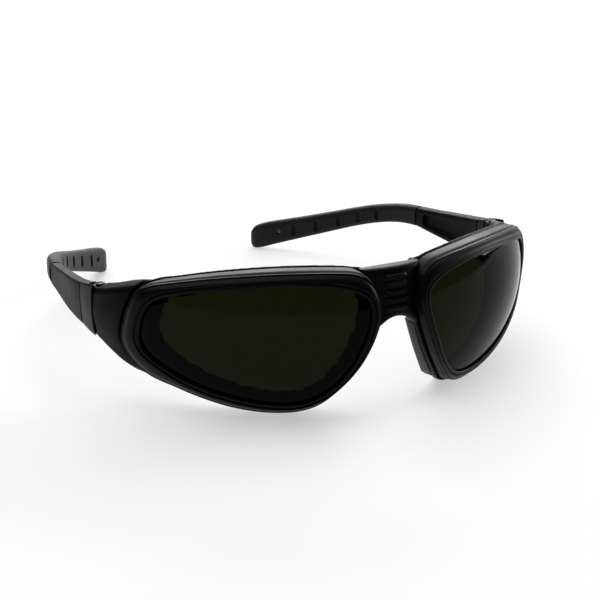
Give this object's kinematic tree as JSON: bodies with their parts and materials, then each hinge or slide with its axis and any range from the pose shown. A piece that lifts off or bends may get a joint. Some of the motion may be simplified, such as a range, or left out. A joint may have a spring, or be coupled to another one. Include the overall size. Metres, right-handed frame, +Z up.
{
  "type": "welding goggles",
  "caption": "Wraparound welding spectacles: dark filter lenses in clip-in rims, foam-lined front, ribbed bridge and folding temples with soft curved ends.",
  "frame": {"origin": "centre of the bounding box in plan, on the plane that the front and the temple ends rest on", "axes": "+Z up, +X to the wearer's left, the front faces -Y and the temples run towards +Y"},
  "size_m": [0.1538, 0.1735, 0.0484],
  "materials": {
    "frame_black": "satin black injection-moulded frame",
    "rim_black": "satin black clip-in rim",
    "filter_green": "polished very dark green filter lens",
    "carrier_black": "matt black",
    "foam_black": "closed-cell black foam",
    "nose_rubber": "soft matt dark rubber",
    "hinge_black": "satin black",
    "pin_steel": "small steel hinge screw",
    "temple_black": "satin black",
    "sleeve_rubber": "soft matt dark grey"
  },
  "bodies": {
    "front": {"front_chassis": "frame_black", "left_lens_rim": "rim_black", "left_lens": "filter_green", "left_gasket_carrier": "carrier_black", "left_foam_gasket": "foam_black", "left_nose_pad": "nose_rubber", "left_hinge_pin": "pin_steel", "right_lens_rim": "rim_black", "right_lens": "filter_green", "right_gasket_carrier": "carrier_black", "right_foam_gasket": "foam_black", "right_nose_pad": "nose_rubber", "right_hinge_pin": "pin_steel"},
    "left_temple": {"left_hinge_block": "hinge_black", "left_temple_arm": "temple_black", "left_temple_sleeve": "sleeve_rubber"},
    "right_temple": {"right_hinge_block": "hinge_black", "right_temple_arm": "temple_black", "right_temple_sleeve": "sleeve_rubber"}
  },
  "joints": [
    {"name": "left_temple_fold", "type": "hinge", "parent": "front", "child": "left_temple", "pos_m": [0.0722, -0.0233, 0.0268], "axis": [0, 0, 1], "range_deg": [0, 74]},
    {"name": "right_temple_fold", "type": "hinge", "parent": "front", "child": "right_temple", "pos_m": [-0.0722, -0.0233, 0.0268], "axis": [0, 0, -1], "range_deg": [0, 84]}
  ]
}
